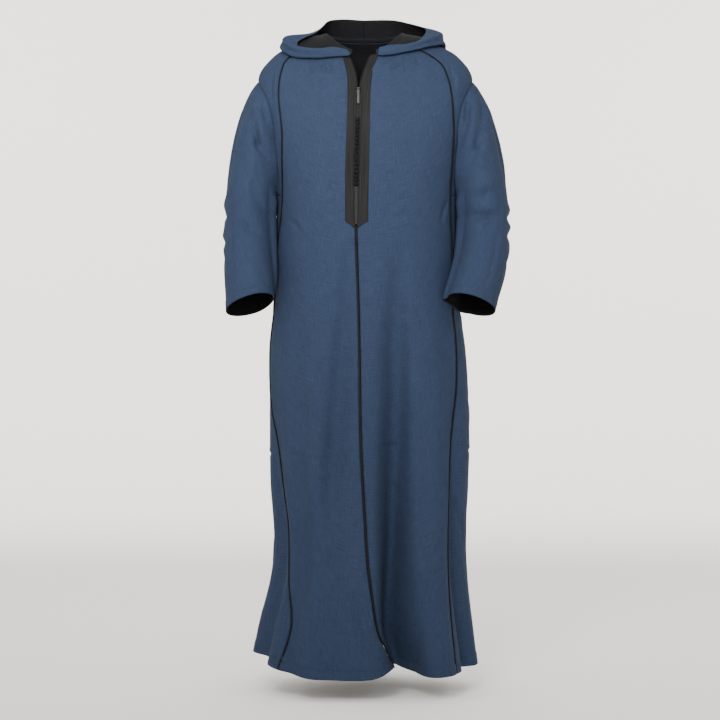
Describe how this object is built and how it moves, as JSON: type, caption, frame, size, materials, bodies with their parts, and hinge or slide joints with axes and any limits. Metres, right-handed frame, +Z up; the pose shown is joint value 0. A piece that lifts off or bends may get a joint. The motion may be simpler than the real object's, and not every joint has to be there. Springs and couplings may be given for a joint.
{
  "type": "djellaba robe",
  "caption": "Long hooded robe in navy cloth, worn form with no wearer: open neck slit with braided placket, zip and knots, long sleeves, hood pushed back.",
  "frame": {"origin": "between the shoulders at the base of the neck, where the wearer's shoulders carry the robe", "axes": "+Z up, the front faces -Y, +X to the right of a viewer who faces the front"},
  "size_m": [0.652, 0.4226, 1.5046],
  "materials": {
    "wool_cloth": "matt navy-blue melange weave, dark reverse",
    "placket_braid": "charcoal braid of fine upright cords, low sheen",
    "black_cord": "black twisted thread, low sheen",
    "zip_metal": "black enamelled metal",
    "tab_metal": "gunmetal, worn lighter"
  },
  "bodies": {
    "garment": {"front_left": "wool_cloth", "front_right": "wool_cloth", "back": "wool_cloth", "side_left": "wool_cloth", "side_right": "wool_cloth", "shoulder_left": "wool_cloth", "shoulder_right": "wool_cloth", "sleeve_left": "wool_cloth", "sleeve_right": "wool_cloth", "hood_left": "wool_cloth", "hood_right": "wool_cloth", "placket_left": "placket_braid", "placket_right": "placket_braid", "braid_centre": "black_cord", "piping_front_left": "black_cord", "piping_front_right": "black_cord", "piping_back_left": "black_cord", "piping_back_right": "black_cord", "knot_01": "black_cord", "knot_02": "black_cord", "knot_03": "black_cord", "knot_04": "black_cord", "knot_05": "black_cord", "knot_06": "black_cord", "knot_07": "black_cord", "knot_08": "black_cord", "knot_09": "black_cord", "knot_10": "black_cord", "knot_11": "black_cord", "knot_12": "black_cord", "knot_13": "black_cord", "knot_14": "black_cord", "knot_15": "black_cord", "knot_16": "black_cord", "knot_17": "black_cord", "chain_left": "zip_metal", "chain_right": "zip_metal", "chain_closed": "zip_metal", "slider": "zip_metal"},
    "pull_tab": {"pull_tab": "tab_metal"}
  },
  "joints": [
    {"name": "pull_tab_swing", "type": "hinge", "parent": "garment", "child": "pull_tab", "pos_m": [-0.01324, -0.13389, -0.08835], "axis": [-1, 0, 0], "range_deg": [0, 150]}
  ]
}
